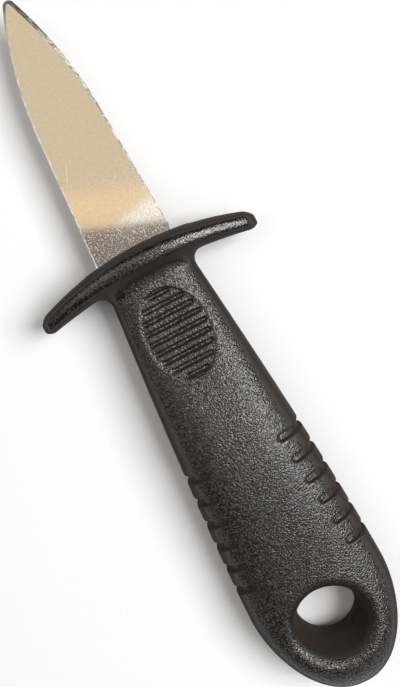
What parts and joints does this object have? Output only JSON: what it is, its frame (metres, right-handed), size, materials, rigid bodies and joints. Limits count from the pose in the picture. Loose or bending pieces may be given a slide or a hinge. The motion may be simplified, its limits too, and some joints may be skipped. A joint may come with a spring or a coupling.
{
  "type": "oyster knife",
  "caption": "Oyster knife with a short blunt-tipped leaf blade, a moulded handle with cross guard, ribbed thumb patch, side grooves and a hanging hole.",
  "frame": {"origin": "bottom centre of the bounding box, below the knife's axis, halfway between tip and butt", "axes": "+Y along the knife towards the tip, +X across the guard, +Z square to the blade's face; the knife lies flat"},
  "size_m": [0.0488, 0.159, 0.0168],
  "materials": {
    "blade_steel": "satin stainless steel with a fine speckle, ground bevel round the tip",
    "handle_plastic": "black polypropylene with a fine spark-eroded grain"
  },
  "bodies": {
    "root": {"blade": "blade_steel", "handle": "handle_plastic"}
  },
  "joints": []
}
